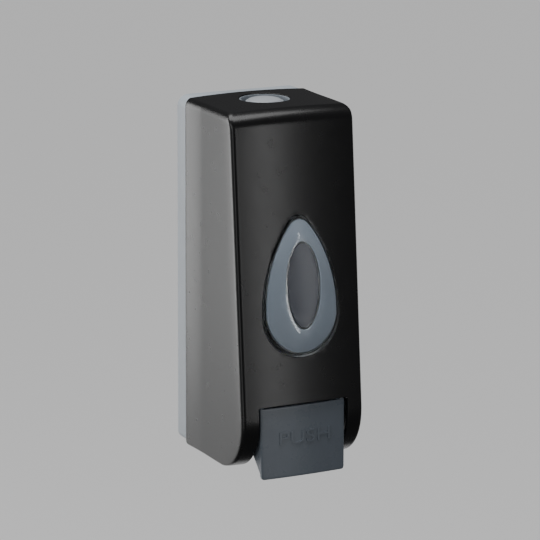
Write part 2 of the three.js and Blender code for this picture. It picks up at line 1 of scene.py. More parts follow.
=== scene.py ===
# Looks of the wall mounted soap dispenser: fine pieces that stand for the CAD nodes, their
# materials, a pale floor, soft light and the camera. Lengths are millimetres until a mesh, a
# light or the camera is made. +X is to the right, the front faces -Y and +Z is up.
from math import acos, atan2, copysign, cos, pi, radians, sin, sqrt, tan

import bmesh
import bpy
import numpy as np
from mathutils import Matrix, Vector
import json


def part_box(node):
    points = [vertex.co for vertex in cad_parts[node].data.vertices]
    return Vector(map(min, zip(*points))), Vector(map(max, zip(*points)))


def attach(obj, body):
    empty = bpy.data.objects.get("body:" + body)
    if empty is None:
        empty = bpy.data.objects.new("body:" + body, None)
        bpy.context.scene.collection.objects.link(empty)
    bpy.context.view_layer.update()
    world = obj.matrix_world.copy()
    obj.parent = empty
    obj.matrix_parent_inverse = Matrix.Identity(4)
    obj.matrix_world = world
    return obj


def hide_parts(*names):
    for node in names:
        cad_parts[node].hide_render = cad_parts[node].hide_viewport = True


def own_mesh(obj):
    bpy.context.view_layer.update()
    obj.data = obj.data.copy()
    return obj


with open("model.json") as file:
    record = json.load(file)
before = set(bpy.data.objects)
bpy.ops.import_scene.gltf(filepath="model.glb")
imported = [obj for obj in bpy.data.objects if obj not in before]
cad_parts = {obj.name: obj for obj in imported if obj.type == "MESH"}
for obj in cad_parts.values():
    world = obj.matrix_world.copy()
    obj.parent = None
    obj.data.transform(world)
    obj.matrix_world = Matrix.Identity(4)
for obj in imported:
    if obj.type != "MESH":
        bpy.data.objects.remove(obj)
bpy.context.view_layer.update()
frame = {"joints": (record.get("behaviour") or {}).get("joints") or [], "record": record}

MM = 0.001
QUARTER = pi / 2
TURN = 2 * pi


def node_box(node):
    """A node's lowest and highest corners."""
    low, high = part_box(node)
    return np.array(low) / MM, np.array(high) / MM


def joint_place(name):
    """The y and z of a hinge."""
    joint = next(j for j in frame["joints"] if j["name"] == name)
    return joint["pos_m"][1] / MM, joint["pos_m"][2] / MM


# ---- Places and sizes from the frame ----
cover_high = node_box("front_cover")[1]
button_high = node_box("latch_button")[1]
plate_high = node_box("back_plate")[1]
reservoir_low, reservoir_high = node_box("reservoir")
lid_low, lid_high = node_box("reservoir_lid")
collar_low, collar_high = node_box("pump_collar")
nozzle_low, nozzle_high = node_box("nozzle")
stem_low, stem_high = node_box("plunger_stem")
pump_low, pump_high = node_box("pump_body")
pin_high = node_box("lever_pin")[1]
hinge_y, hinge_z = joint_place("cover_hinge")
pivot_y, pivot_z = joint_place("lever_hinge")

half_width = cover_high[0]
half_height = cover_high[2]
cover_rear = cover_high[1]
pump_y = (collar_low[1] + collar_high[1]) / 2

# ---- Cover ----
TOP_DEPTH = 69.5          # wall to the cover's front, at its top
BOTTOM_DEPTH = 88         # wall to the cover's front, carried down to its bottom
WALL = 2.2
BOW = 2                   # the front's middle stands out this far past its sides
CROWN = 1.3               # the top's middle stands above its sides
EDGE_RADIUS = 2.5
TOP_FRONT_RADIUS = 9.5
TOP_SIDE_RADIUS = 5
BOTTOM_FRONT_RADIUS = 33
BOTTOM_SIDE_RADIUS = 1.5
HINGE_RADIUS = 3
CUT_OFF = 0.5             # the flat top cuts this much off the top of its edge rounds
LEAD_IN = 0.1             # the sides draw in this far towards the front edge
LEAD_LENGTH = 9
FLARE = 0.8               # the sides stand out this far towards the rear edge
FLARE_LENGTH = 20
NOTCH_HALF_WIDTH = 27.3
NOTCH_TOP = -61.4
NOTCH_REAR = -24
GAP = 0.3
BUTTON_HOLE = 14.2        # radius
BUTTON_Y = -33.35
GUIDE_SCREW_X = 20
HINGE_BORE = 1.7          # radius
LEVER_BORE = 1.8          # radius

# ---- Window, in the plane of the leaning front ----
DROP_Z = -12.3
DROP_RADIUS = 23.2
DROP_SIDE_RADIUS = 85
DROP_HEIGHT = 54.8
OVAL_HALF_WIDTH = 10.1
OVAL_HALF_HEIGHT = 23.8
OVAL_RISE = 16.6
RIM_HEIGHT = 1.4
LENS_CROWN = 4.65

# ---- Lever ----
LEVER_HALF_WIDTH = 25.4   # at its foot, and across its cheeks
LEVER_TOP_HALF_WIDTH = 26.1
LEVER_TOP = (-82.6, -62.5)
LEVER_FOOT = (-84.3, -102.6)
PAD = (-48, -86.3)

# ---- Back plate ----
BRACKET_SCREW_X = 19.5
BRACKET_SCREW_Z = -60
SLOT_X = 22
SLOT_Z = 76

SIDES = {-1: "left", 1: "right"}   # a side's direction along X, and its name


# ---- Making meshes ----

def linked(name, data):
    """A new object in the scene."""
    obj = bpy.data.objects.new(name, data)
    bpy.context.scene.collection.objects.link(obj)
    return obj


def new_object(points, faces):
    """A mesh object from points in millimetres, with shared points merged and faces outward."""
    mesh = bpy.data.meshes.new("form")
    mesh.from_pydata([tuple(p) for p in np.asarray(points, float) * MM], [], faces)
    shape = bmesh.new()
    shape.from_mesh(mesh)
    bmesh.ops.remove_doubles(shape, verts=shape.verts, dist=2e-6)
    bmesh.ops.dissolve_degenerate(shape, edges=shape.edges, dist=1e-6)
    bmesh.ops.delete(shape, geom=[e for e in shape.edges if e.is_wire], context="EDGES")
    bmesh.ops.delete(shape, geom=[v for v in shape.verts if not v.link_faces], context="VERTS")
    bmesh.ops.recalc_face_normals(shape, faces=shape.faces)
    shape.to_mesh(mesh)
    shape.free()
    return linked("form", mesh)


def real_mesh(obj):
    """The object as a mesh, with its modifiers made real."""
    graph = bpy.context.evaluated_depsgraph_get()
    return bpy.data.meshes.new_from_object(obj.evaluated_get(graph))


def settled(obj):
    """The object with its modifiers made real."""
    mesh, old = real_mesh(obj), obj.data
    obj.modifiers.clear()
    obj.data = mesh
    bpy.data.meshes.remove(old)
    return obj


def boolean(obj, tools, operation):
    for tool in tools:
        step = obj.modifiers.new("step", "BOOLEAN")
        step.operation = operation
        step.solver = "MANIFOLD"
        step.object = tool
        settled(obj)
        bpy.data.objects.remove(tool)
    return obj


def cut(obj, *tools):
    return boolean(obj, tools, "DIFFERENCE")


def join(obj, *tools):
    return boolean(obj, tools, "UNION")


def bevelled(obj, width):
    """The object's sharp edges rounded."""
    sharp = 35
    step = obj.modifiers.new("bevel", "BEVEL")
    step.width = width * MM
    step.segments = 3
    step.limit_method = "ANGLE"
    step.angle_limit = radians(sharp)
    step.miter_outer = "MITER_ARC"
    return settled(obj)


def moved(obj, matrix):
    obj.data.transform(matrix)
    if matrix.determinant() < 0:
        obj.data.flip_normals()
    return obj


def shifted(obj, x=0, y=0, z=0):
    return moved(obj, Matrix.Translation((x * MM, y * MM, z * MM)))


def grid_faces(down, across, wraps=False):
    """Faces between rows of points, each row a closed loop; wraps joins the last row to the first."""
    faces = []
    for i in range(down if wraps else down - 1):
        for j in range(across):
            k, n = (j + 1) % across, (i + 1) % down
            faces.append((i * across + j, i * across + k, n * across + k, n * across + j))
    return faces


def skin(rows, capped=True):
    """A surface through rows of points, each row a closed loop, closed at both ends by a fan."""
    rows = np.asarray(rows, float)
    if capped:
        ends = [np.repeat(row.mean(0)[None], len(row), 0) for row in (rows[0], rows[-1])]
        rows = np.concatenate([ends[0][None], rows, ends[1][None]])
    return new_object(rows.reshape(-1, 3), grid_faces(*rows.shape[:2]))


def quarter_round(radius, count):
    """Steps round a quarter turn, each as what it lacks in one direction and in the other."""
    return [(radius * (1 - cos(t)), radius * (1 - sin(t)))
            for t in np.linspace(0, QUARTER, count)]


def rounded(outline, radius, count=5):
    """A closed outline of 2-D points with its corners rounded, each by as much as fits."""
    outline = [np.array(p, float) for p in outline]
    radii = radius if isinstance(radius, (list, tuple)) else [radius] * len(outline)
    result = []
    for i, corner in enumerate(outline):
        before = outline[i - 1] - corner
        after = outline[(i + 1) % len(outline)] - corner
        spans = np.linalg.norm(before), np.linalg.norm(after)
        before, after = before / spans[0], after / spans[1]
        half = acos(np.clip(before @ after, -1, 1)) / 2
        reach = min(radii[i] / max(tan(half), 1e-6), 0.45 * min(spans))
        if radii[i] <= 0 or half > QUARTER - 0.02:
            result.append(corner)
            continue
        start, end = corner + before * reach, corner + after * reach
        for t in np.linspace(0, 1, count + 1):
            result.append((1 - t) ** 2 * start + 2 * t * (1 - t) * corner + t ** 2 * end)
    return np.array(result)


def turned(profile, y=0, sides=96, radius=0.25, rib=None):
    """A profile of (radius, z) points, rounded and turned about an upright axis."""
    points = rounded(profile, radius, 4)
    rows = []
    for angle in np.linspace(0, TURN, sides, endpoint=False):
        reach = points[:, 0] * (1 if rib is None else 1 + rib(angle, points))
        rows.append(np.column_stack([
            reach * cos(angle), y + reach * sin(angle), points[:, 1]]))
    return new_object(np.concatenate(rows), grid_faces(len(rows), len(points), wraps=True))


def prism(outline, span, place, edge=0.0):
    """A 2-D outline drawn out over a span; place puts (u, v, w) arrays into the frame."""
    outline = np.asarray(outline, float)
    count = len(outline)
    points = [np.column_stack(place(outline[:, 0], outline[:, 1], np.full(count, w))) for w in span]
    sides = [(i, (i + 1) % count, count + (i + 1) % count, count + i) for i in range(count)]
    ends = [tuple(range(count))[::-1], tuple(range(count, 2 * count))]
    obj = new_object(np.concatenate(points), sides + ends)
    return bevelled(obj, edge) if edge else obj


def along_x(u, v, w):
    return w, u, v


def along_y(u, v, w):
    return u, w, v


def along_z(u, v, w):
    return u, v, w


def box(x, y, z, radius=0.0):
    """A block over three spans, with its upright edges rounded."""
    outline = [(x[0], y[0]), (x[1], y[0]), (x[1], y[1]), (x[0], y[1])]
    return prism(rounded(outline, radius) if radius else outline, z, along_z)


def mirrored(side, a, b):
    """A span along X on the right, or its mirror image on the left."""
    return (a, b) if side > 0 else (-b, -a)


def circle(u, v, radius, sides=48):
    angles = np.linspace(0, TURN, sides, endpoint=False)
    return np.column_stack([u + radius * np.cos(angles), v + radius * np.sin(angles)])


def bar(x, y, z, radius):
    """A round bar along X."""
    return prism(circle(y, z, radius), x, along_x)


def peg(x, z, radius, y):
    """A round bar along Y."""
    return prism(circle(x, z, radius), y, along_y)


def post(x, y, radius, z, sides=64):
    """A round bar along Z."""
    return prism(circle(x, y, radius, sides), z, along_z)


def coil(y, radius, wire, turns, low, high, sides=14):
    """A coil spring of round wire whose end turns lie flat."""
    steps = np.linspace(0, 1, int(turns * 40) + 1)
    angle = TURN * turns * steps
    flat = 0.75 / turns
    climb = np.clip((steps - flat) / (1 - 2 * flat), 0, 1)
    z = low + wire / 2 + (high - low - wire) * climb
    rows = []
    for a, height in zip(angle, z):
        out = np.array([cos(a), sin(a), 0])
        rows.append([
            out * (radius + wire / 2 * cos(t)) + np.array([0, y, height + wire / 2 * sin(t)])
            for t in np.linspace(0, TURN, sides, endpoint=False)])
    return skin(rows)


# ---- The cover's shape ----

def front_depth(z):
    """Distance from the wall to the front's middle, before the edges are rounded."""
    return TOP_DEPTH + (BOTTOM_DEPTH - TOP_DEPTH) * (half_height - z) / (2 * half_height)


def draw_back(radius, distance):
    """How far a round of this radius draws a face back, at a distance short of its end."""
    inside = max(0.0, radius - max(0.0, distance))
    return radius - sqrt(radius ** 2 - inside ** 2)


def crown_drop(x, z):
    return CROWN * (x / half_width) ** 2 * np.clip(z / half_height, 0, None) ** 8


def cover_outline(z, inset, rear):
    """The cover's outline at a height, drawn in by an inset."""
    top_end = half_height + CUT_OFF - inset
    foot_end = -half_height + inset
    half_x = half_width - inset - draw_back(TOP_SIDE_RADIUS - inset, top_end - z)
    half_x -= draw_back(max(0.4, BOTTOM_SIDE_RADIUS - inset), z - foot_end)
    depth = front_depth(z) - inset - draw_back(TOP_FRONT_RADIUS - inset, top_end - z)
    depth -= draw_back(BOTTOM_FRONT_RADIUS - inset, z - foot_end)
    radius = max(0.5, EDGE_RADIUS - inset)
    rear_radius = 0.5
    corner_x = half_x - radius
    front_x = np.linspace(-corner_x, corner_x, 49)
    front = np.column_stack([front_x, -depth + BOW * (front_x / half_width) ** 2])
    corner_y = front[-1, 1] + radius
    t = np.linspace(0, QUARTER, 11)[1:]
    corner = np.column_stack([corner_x + radius * np.sin(t), corner_y - radius * np.cos(t)])
    side_y = np.linspace(corner_y, rear - rear_radius, 33)[1:]
    side = np.column_stack([np.full(len(side_y), half_x), side_y])
    rear_corner = np.column_stack([
        half_x - rear_radius + rear_radius * np.cos(t), rear - rear_radius + rear_radius * np.sin(t)])
    right = np.concatenate([corner, side, rear_corner])
    back_x = np.linspace(right[-1, 0], -right[-1, 0], 25)[1:-1]
    back = np.column_stack([back_x, np.full(len(back_x), rear)])
    left = right[::-1] * (-1, 1)
    loop = np.concatenate([front, right, back, left])
    near = np.clip(1 - (loop[:, 1] - corner_y) / LEAD_LENGTH, 0, 1)
    rearward = np.clip(1 - (rear - loop[:, 1]) / FLARE_LENGTH, 0, 1)
    loop[:, 0] *= 1 - (LEAD_IN * near ** 2 + FLARE * (1 - rearward ** 1.5)) / half_width
    return np.column_stack([loop, z - crown_drop(loop[:, 0], z)])


def cover_block(inset, rear_at):
    """The cover filled in, drawn in by an inset."""
    top = half_height - inset
    foot = -half_height + inset
    rise = BOTTOM_FRONT_RADIUS - inset
    foot_side = np.linspace(0, QUARTER, 9)[:-1]
    low = foot + BOTTOM_SIDE_RADIUS * (1 - np.cos(foot_side))
    foot_round = foot + rise * (1 - np.cos(np.linspace(0.32, QUARTER, 34)))
    straight = np.linspace(foot + rise, top - TOP_FRONT_RADIUS, 50)[1:]
    top_angle = np.linspace(0, 1, 18)[1:-1]
    apex = top + CUT_OFF
    top_round = apex - TOP_FRONT_RADIUS * (1 - np.sin(top_angle * QUARTER))
    top_round = top_round[top_round < top - 0.05]
    levels = np.concatenate([low, foot_round, straight, top_round, [top]])
    rows = [cover_outline(z, inset, rear_at(z)) for z in levels]
    middle_y = -35
    last = rows[-1]
    for share in np.linspace(1, 0, 25)[1:]:
        x = last[:, 0] * share
        rows.append(np.column_stack([
            x, middle_y + (last[:, 1] - middle_y) * share, top - crown_drop(x, top)]))
    floor = np.repeat([[0.0, middle_y, foot]], len(last), 0)
    return skin([floor] + rows, capped=False)


class FrontPath:
    """The cover's middle line, from the front down and back along the bottom."""

    def __init__(self):
        straight = np.arange(-50, -half_height + BOTTOM_FRONT_RADIUS, -1.0)
        path = [(-front_depth(z), z) for z in straight]
        for t in np.linspace(0, QUARTER, 40):
            z = -half_height + BOTTOM_FRONT_RADIUS * (1 - sin(t))
            path.append((-front_depth(z) + BOTTOM_FRONT_RADIUS * (1 - cos(t)), z))
        path += [(y, -half_height) for y in np.arange(path[-1][0] + 1, NOTCH_REAR + 8, 1.0)]
        self.points = np.array(path)
        tangent = np.gradient(self.points, axis=0)
        tangent /= np.linalg.norm(tangent, axis=1)[:, None]
        self.normals = np.column_stack([tangent[:, 1], -tangent[:, 0]])
        self.reach = np.concatenate([[0], np.cumsum(np.linalg.norm(np.diff(self.points, axis=0), axis=1))])

    def at(self, x, s, w):
        """The point x across, s along and w out of the surface."""
        y, z = (np.interp(s, self.reach, self.points[:, i]) for i in (0, 1))
        ny, nz = (np.interp(s, self.reach, self.normals[:, i]) for i in (0, 1))
        return np.column_stack([x, y + w * ny + BOW * (x / half_width) ** 2, z + w * nz])

    def length_to(self, y=None, z=None):
        if z is not None:
            return np.interp(-z, -self.points[:, 1], self.reach)
        bottom = self.points[:, 1] < -half_height + 0.01
        return np.interp(y, self.points[bottom, 0], self.reach[bottom])


def notch_cutter(edge=0.5, corner=1.2, depth=6, out=3):
    """The opening for the lever: it follows the front and flares at the surface."""
    path = FrontPath()
    top = path.length_to(z=NOTCH_TOP)
    end = path.length_to(y=NOTCH_REAR)
    across = np.linspace(-1, 1, 41)
    layers = []
    levels = [(0, -depth)] + [(grow, -fall) for grow, fall in quarter_round(edge, 7)] + [(edge, out)]
    for grow, w in levels:
        rows = []
        for t in np.linspace(0, QUARTER, 7):
            s = top + corner - (corner + grow) * cos(t)
            half = NOTCH_HALF_WIDTH - corner + (corner + grow) * sin(t)
            rows.append((s, half))
        rows += [(s, NOTCH_HALF_WIDTH + grow) for s in np.linspace(top + corner, end, 72)[1:]]
        layers.append(np.array([
            path.at(across * half, np.full(41, s), np.full(41, float(w))) for s, half in rows]))
    return stacked(layers)


def stacked(layers):
    """A closed solid from layers of point grids: its sides join the grids' borders."""
    down, across = layers[0].shape[:2]
    border = [(0, j) for j in range(across)]
    border += [(i, across - 1) for i in range(1, down)]
    border += [(down - 1, j) for j in range(across - 2, -1, -1)]
    border += [(i, 0) for i in range(down - 2, 0, -1)]
    points = np.concatenate([layer.reshape(-1, 3) for layer in layers])
    size = down * across
    faces = []
    for layer in (0, len(layers) - 1):
        for i in range(down - 1):
            for j in range(across - 1):
                a = layer * size + i * across + j
                faces.append((a, a + 1, a + across + 1, a + across))
    count = len(border)
    for layer in range(len(layers) - 1):
        for k in range(count):
            i, j = border[k]
            m, n = border[(k + 1) % count]
            a, b = layer * size + i * across + j, layer * size + m * across + n
            faces.append((a, b, b + size, a + size))
    used = sorted({i for face in faces for i in face})
    renumber = {old: new for new, old in enumerate(used)}
    return new_object(points[used], [tuple(renumber[i] for i in face) for face in faces])


# ---- The window's shape ----

lean = atan2(BOTTOM_DEPTH - TOP_DEPTH, 2 * half_height)
window_up = np.array([0, sin(lean), cos(lean)])
window_out = np.array([0, -cos(lean), sin(lean)])
window_centre = np.array([0, -front_depth(DROP_Z), DROP_Z])


def drop_outline(offset=0.0):
    """A round foot, two long side arcs and a small round top, all tangent."""
    side_centre = DROP_RADIUS - DROP_SIDE_RADIUS
    tip_radius = (DROP_SIDE_RADIUS ** 2 - side_centre ** 2 - DROP_HEIGHT ** 2)
    tip_radius /= 2 * (DROP_SIDE_RADIUS - DROP_HEIGHT)
    tip_height = DROP_HEIGHT - tip_radius
    turn = atan2(tip_height, -side_centre)

    def arc(cx, cy, radius, start, end, count):
        t = np.linspace(start, end, count + 1)
        return np.column_stack([cx + (radius + offset) * np.cos(t), cy + (radius + offset) * np.sin(t)])

    foot = arc(0, 0, DROP_RADIUS, -QUARTER, 0, 30)[:-1]
    side = arc(side_centre, 0, DROP_SIDE_RADIUS, 0, turn, 30)[:-1]
    tip = arc(0, tip_height, tip_radius, turn, QUARTER, 14)
    half = np.concatenate([foot, side, tip])
    return np.concatenate([half, half[1:-1][::-1] * (-1, 1)])


def oval_outline(offset=0.0):
    """The oval on the crown of the drop, with its points in step with the drop's."""
    x, y = drop_outline().T
    angle = np.arctan2((y - OVAL_RISE) / OVAL_HALF_HEIGHT, x / OVAL_HALF_WIDTH)
    return np.column_stack([
        (OVAL_HALF_WIDTH + offset) * np.cos(angle),
        OVAL_RISE + (OVAL_HALF_HEIGHT + offset) * np.sin(angle)])


def window_row(share, out, drop_offset=0.0, oval_offset=0.0, scale=1.0):
    """Part of the way from the drop to the oval, at a height over the bowed front."""
    drop = drop_outline(drop_offset)
    flat = drop + (oval_outline(oval_offset) - drop) * share
    flat = np.array([0, OVAL_RISE]) + (flat - (0, OVAL_RISE)) * scale
    x, y = flat.T
    sunk = BOW * (x / half_width) ** 2
    return (window_centre + np.outer(x, (1, 0, 0)) + np.outer(y, window_up)
            + np.outer(out - sunk, window_out))


def lens_height(share):
    return RIM_HEIGHT + (LENS_CROWN - RIM_HEIGHT) * sin(share * QUARTER)


SHARES = np.linspace(0.04, 1, 15)


def window_lens():
    def crown(out):
        return [window_row(1, out, scale=scale) for scale in np.linspace(1, 0, 10)[1:]]

    thickness = 1
    footing = -5
    lip = -3.6
    edge = 0.45
    dome = [window_row(share, lens_height(share)) for share in SHARES]
    rim = [window_row(0, RIM_HEIGHT - fall, -back) for back, fall in quarter_round(edge, 6)]
    under_dome = [window_row(share, lens_height(share) - thickness) for share in SHARES[1:]]
    rows = crown(LENS_CROWN)[::-1] + dome[::-1] + rim[::-1]
    rows += [window_row(0, lip), window_row(0, lip - 0.1, 0.1), window_row(0, lip, 1.9)]
    rows += [window_row(0, lip - 0.1, 2), window_row(0, footing, 2), window_row(0, footing, -1.3)]
    rows += [window_row(0, -0.4, -1.3)] + under_dome + crown(LENS_CROWN - thickness)
    return skin(rows, capped=False)


def window_bezel():
    under = 1 + GAP
    thickness = 1.1
    shares = np.linspace(0.17, 0.955, 16)
    outer = [window_row(share, lens_height(share) - under) for share in shares]
    lip = [window_row(0.97, lens_height(0.97) - under - 0.25)]
    inner = [window_row(share, lens_height(share) - under - thickness) for share in shares[::-1]]
    foot = [window_row(0.16, lens_height(0.17) - under - 0.3)]
    return skin(outer + lip + inner + foot + [outer[0]], capped=False)


def window_pane():
    top = LENS_CROWN - 1 - GAP
    thickness = 1.2
    edge = -0.6
    dome = [window_row(1, top, 0, edge, scale) for scale in np.linspace(0, 0.97, 10)]
    rows = dome + [window_row(1, top - 0.12, 0, edge), window_row(1, top - thickness, 0, edge)]
    rows.append(window_row(1, top - thickness, 0, edge, 0))
    return skin(rows, capped=False)


def window_hole():
    reach = 9
    edge = 0.25
    rows = [window_row(0, -reach, GAP, scale=0), window_row(0, -reach, GAP)]
    rows += [window_row(0, -fall, GAP + grow) for grow, fall in quarter_round(edge, 5)]
    rows += [window_row(0, reach, GAP + edge), window_row(0, reach, GAP + edge, scale=0)]
    return skin(rows, capped=False)


def button_hole():
    radius = BUTTON_HOLE
    edge = 0.4
    profile = [(radius, half_height - edge - 12)]
    profile += [(radius + grow, half_height - fall) for grow, fall in quarter_round(edge, 6)]
    profile.append((radius + edge, half_height + 4))
    rows = []
    for reach, z in profile:
        ring = circle(0, BUTTON_Y, reach, 120)
        rows.append(np.column_stack([ring, z - crown_drop(ring[:, 0], half_height)]))
    return skin(rows)


def front_cover():
    """The shell: an outer block less an inner one, with its openings, ears and bosses."""
    shell = cover_block(0, lambda z: cover_rear - draw_back(HINGE_RADIUS, z + half_height))
    inner = cover_block(WALL, lambda z: -5)
    shell = cut(shell, inner)
    ear = rounded([(-82, -52), (-82, -64.5), (-77, -64.5), (-71.5, -60), (-71.5, -55), (-75, -52)], 1)
    inner_side = half_width - WALL + 1
    for side in SIDES:
        shell = join(
            shell,
            bar(mirrored(side, 32.8, inner_side), hinge_y, hinge_z, HINGE_RADIUS - 0.1),
            prism(ear, mirrored(side, 27.5, 30.5), along_x),
            post(side * GUIDE_SCREW_X, BUTTON_Y, 3.2, (91, half_height - 2)))
        shell = cut(
            shell,
            box(mirrored(side, 26.8, 32.8), (hinge_y - 4, cover_rear + 2), (-half_height - 1, hinge_z + 4)),
            bar(mirrored(side, 27, 35.6), hinge_y, hinge_z, HINGE_BORE),
            bar(mirrored(side, 27, 31), pivot_y, pivot_z, LEVER_BORE),
            post(side * GUIDE_SCREW_X, BUTTON_Y, 1.6, (90, 96)))
    return cut(shell, button_hole(), notch_cutter(), window_hole())


# ---- Button ----

def latch_button():
    rim = 98.5
    radius = 10.7
    skirt = 90
    dome = [(radius, rim - 0.9), (radius - 0.25, rim - 0.25), (radius - 1.1, rim + 0.15)]
    dome += [(r, button_high[2] - 2.0 * (r / radius) ** 2.4) for r in np.linspace(8.8, 0, 14)]
    profile = [(0, 95.5), (9, 95.5), (9, skirt), (radius, skirt)] + dome
    cap = turned(profile, BUTTON_Y, 128, 0.12)
    front = -34.5
    hook = [(front, 96.5), (front, 73), (front + 10, 73), (front + 10, 77.1), (front + 7.3, 77.1),
            (front + 7.3, 75), (front + 2.5, 75), (front + 2.5, 96.5)]
    return join(cap, prism(rounded(hook, 0.5), (-4, 4), along_x, 0.3))


def button_guide():
    """The cup that the button stands in, whose lip lines the cover's hole."""
    floor = 84
    radius = 13.2
    catch_tip = -30
    lip = BUTTON_HOLE - GAP
    profile = [(0, floor), (15.9, floor), (15.9, 97), (lip, 97), (lip, 99.4), (radius, 99.4),
               (radius, floor + 1.5), (0, floor + 1.5)]
    cup = turned(profile, BUTTON_Y, 128, 0.2)
    ears = [(-24, BUTTON_Y - 3.4), (24, BUTTON_Y - 3.4), (24, BUTTON_Y + 3.4), (-24, BUTTON_Y + 3.4)]
    cup = join(cup, prism(rounded(ears, 3.2, 8), (88.5, 90.7), along_z, 0.2))
    return cut(
        cup,
        post(0, BUTTON_Y, radius - 0.005, (floor + 1.5, half_height), 128),
        box((-4.6, 4.6), (catch_tip - 5.2, catch_tip + 6.4), (floor - 1, floor + 3), 0.5),
        *(post(side * GUIDE_SCREW_X, BUTTON_Y, 1.7, (88, 92)) for side in SIDES))


# ---- Fasteners and pins ----

def pan_screw(head, shank, length):
    """A pan head screw with a cross recess, its tip at z = 0 and its head on top."""
    pitch = 1.0
    rise = head * 0.62
    profile = [(0, 0), (shank * 0.45, 0.5)]
    for z in np.arange(0.8, length - 1.2, pitch):
        profile += [(shank * 0.8, z), (shank, z + pitch / 2)]
    profile += [(shank * 0.8, length - 0.9), (shank * 0.8, length), (head, length)]
    profile += [(head, length + rise * 0.5), (head * 0.8, length + rise * 0.9), (0, length + rise)]
    screw = turned(profile, sides=48, radius=0.1)
    arm, half = head * 0.5, head * 0.13
    for x, y in ((arm, half), (half, arm)):
        screw = cut(screw, box((-x, x), (-y, y), (length + rise * 0.45, length + rise + 1)))
    return screw


def guide_screw(side):
    screw = moved(pan_screw(2.8, 1.3, 7), Matrix.Rotation(pi, 4, "X"))
    return shifted(screw, side * GUIDE_SCREW_X, BUTTON_Y, 95.2)


def bracket_screw(side):
    screw = moved(pan_screw(3, 1.5, 6.4), Matrix.Rotation(QUARTER, 4, "X"))
    return shifted(screw, side * BRACKET_SCREW_X, -1.4, BRACKET_SCREW_Z)


def hinge_pin(side):
    """A headed pin, turned about Z and laid along X."""
    profile = [(0, 27.2), (2.4, 27.2), (2.4, 28.4), (1.4, 28.4), (1.4, 34.6), (1.0, 35.2), (0, 35.2)]
    pin = moved(turned(profile, sides=64, radius=0.2), Matrix.Rotation(side * QUARTER, 4, "Y"))
    return shifted(pin, 0, hinge_y, hinge_z)


def lever_pin():
    half, radius, chamfer = pin_high[0], 1.5, 0.4
    profile = [(0, -half), (radius - chamfer, -half), (radius, -half + chamfer)]
    profile += [(radius, half - chamfer), (radius - chamfer, half), (0, half)]
    pin = moved(turned(profile, sides=64, radius=0.1), Matrix.Rotation(QUARTER, 4, "Y"))
    return shifted(pin, 0, pivot_y, pivot_z)


# ---- Lever ----

def lever_face(x, z):
    """The y of the lever's outer face."""
    share = (LEVER_TOP[1] - z) / (LEVER_TOP[1] - LEVER_FOOT[1])
    return LEVER_TOP[0] + (LEVER_FOOT[0] - LEVER_TOP[0]) * share + BOW * (x / half_width) ** 2


def lever_plate(thickness=2.0, edge=0.6, corner=1.6):
    rows = []
    for z, back in lever_levels(edge):
        share = (LEVER_TOP[1] - z) / (LEVER_TOP[1] - LEVER_FOOT[1])
        half = LEVER_TOP_HALF_WIDTH + (LEVER_HALF_WIDTH - LEVER_TOP_HALF_WIDTH) * share
        half -= draw_back(corner, z - LEVER_FOOT[1]) + 0.6 * back
        t = np.linspace(0, QUARTER, 9)
        face_x = np.concatenate([
            -half + edge * (1 - np.sin(t[::-1])),
            np.linspace(-half + edge, half - edge, 41)[1:-1],
            half - edge * (1 - np.sin(t))])
        sink = np.concatenate([edge * (1 - np.cos(t[::-1])), np.zeros(39), edge * (1 - np.cos(t))])
        face_y = lever_face(face_x, z) + np.maximum(sink, back)
        face = np.column_stack([face_x, face_y, np.full(len(face_x), z)])
        rear = face[::-1].copy()
        rear[:, 1] = lever_face(rear[:, 0], z) + thickness
        rows.append(np.concatenate([face, rear]))
    return skin(rows)


def lever_levels(edge):
    """Heights of the plate's rows, each with how far its edge rounds the face back."""
    turn = quarter_round(edge, 9)
    foot, top = LEVER_FOOT[1], LEVER_TOP[1]
    low = [(foot + rise, back) for rise, back in turn]
    middle = [(z, 0.0) for z in np.linspace(foot + edge, top - edge, 30)[1:-1]]
    high = [(top - fall, back) for fall, back in turn[::-1]]
    return low + middle + high


def raised_word():
    """The word PUSH in plain block letters, bent to the lever's face."""
    text = bpy.data.curves.new("word", "FONT")
    text.body = "PUSH"
    text.align_x = "CENTER"
    text.align_y = "CENTER"
    text.size = 1
    text.extrude = 0.05
    text.resolution_u = 6
    holder = linked("word", text)
    mesh = real_mesh(holder)
    bpy.data.objects.remove(holder)
    word = linked("word", mesh)
    shape = bmesh.new()
    shape.from_mesh(mesh)
    bmesh.ops.remove_doubles(shape, verts=shape.verts, dist=1e-4)
    bmesh.ops.triangulate(shape, faces=[f for f in shape.faces if len(f.verts) > 4])
    long_edges = [e for e in shape.edges if e.calc_length() > 0.2]
    bmesh.ops.subdivide_edges(shape, edges=long_edges, cuts=3)
    flat = np.array([v.co for v in shape.verts])
    low, high = flat.min(0), flat.max(0)
    width, height, rise, sunk = 31, 7.2, 0.5, 0.4
    centre_x, centre_z = 1.0, -80.2
    for vert, (u, v, w) in zip(shape.verts, flat):
        x = centre_x + width * ((u - low[0]) / (high[0] - low[0]) - 0.5)
        z = centre_z + height * ((v - low[1]) / (high[1] - low[1]) - 0.5)
        y = lever_face(x, z) + (-rise if w > 0 else sunk)
        vert.co = Vector((x * MM, y * MM, z * MM))
    bmesh.ops.recalc_face_normals(shape, faces=shape.faces)
    shape.to_mesh(mesh)
    shape.free()
    return word


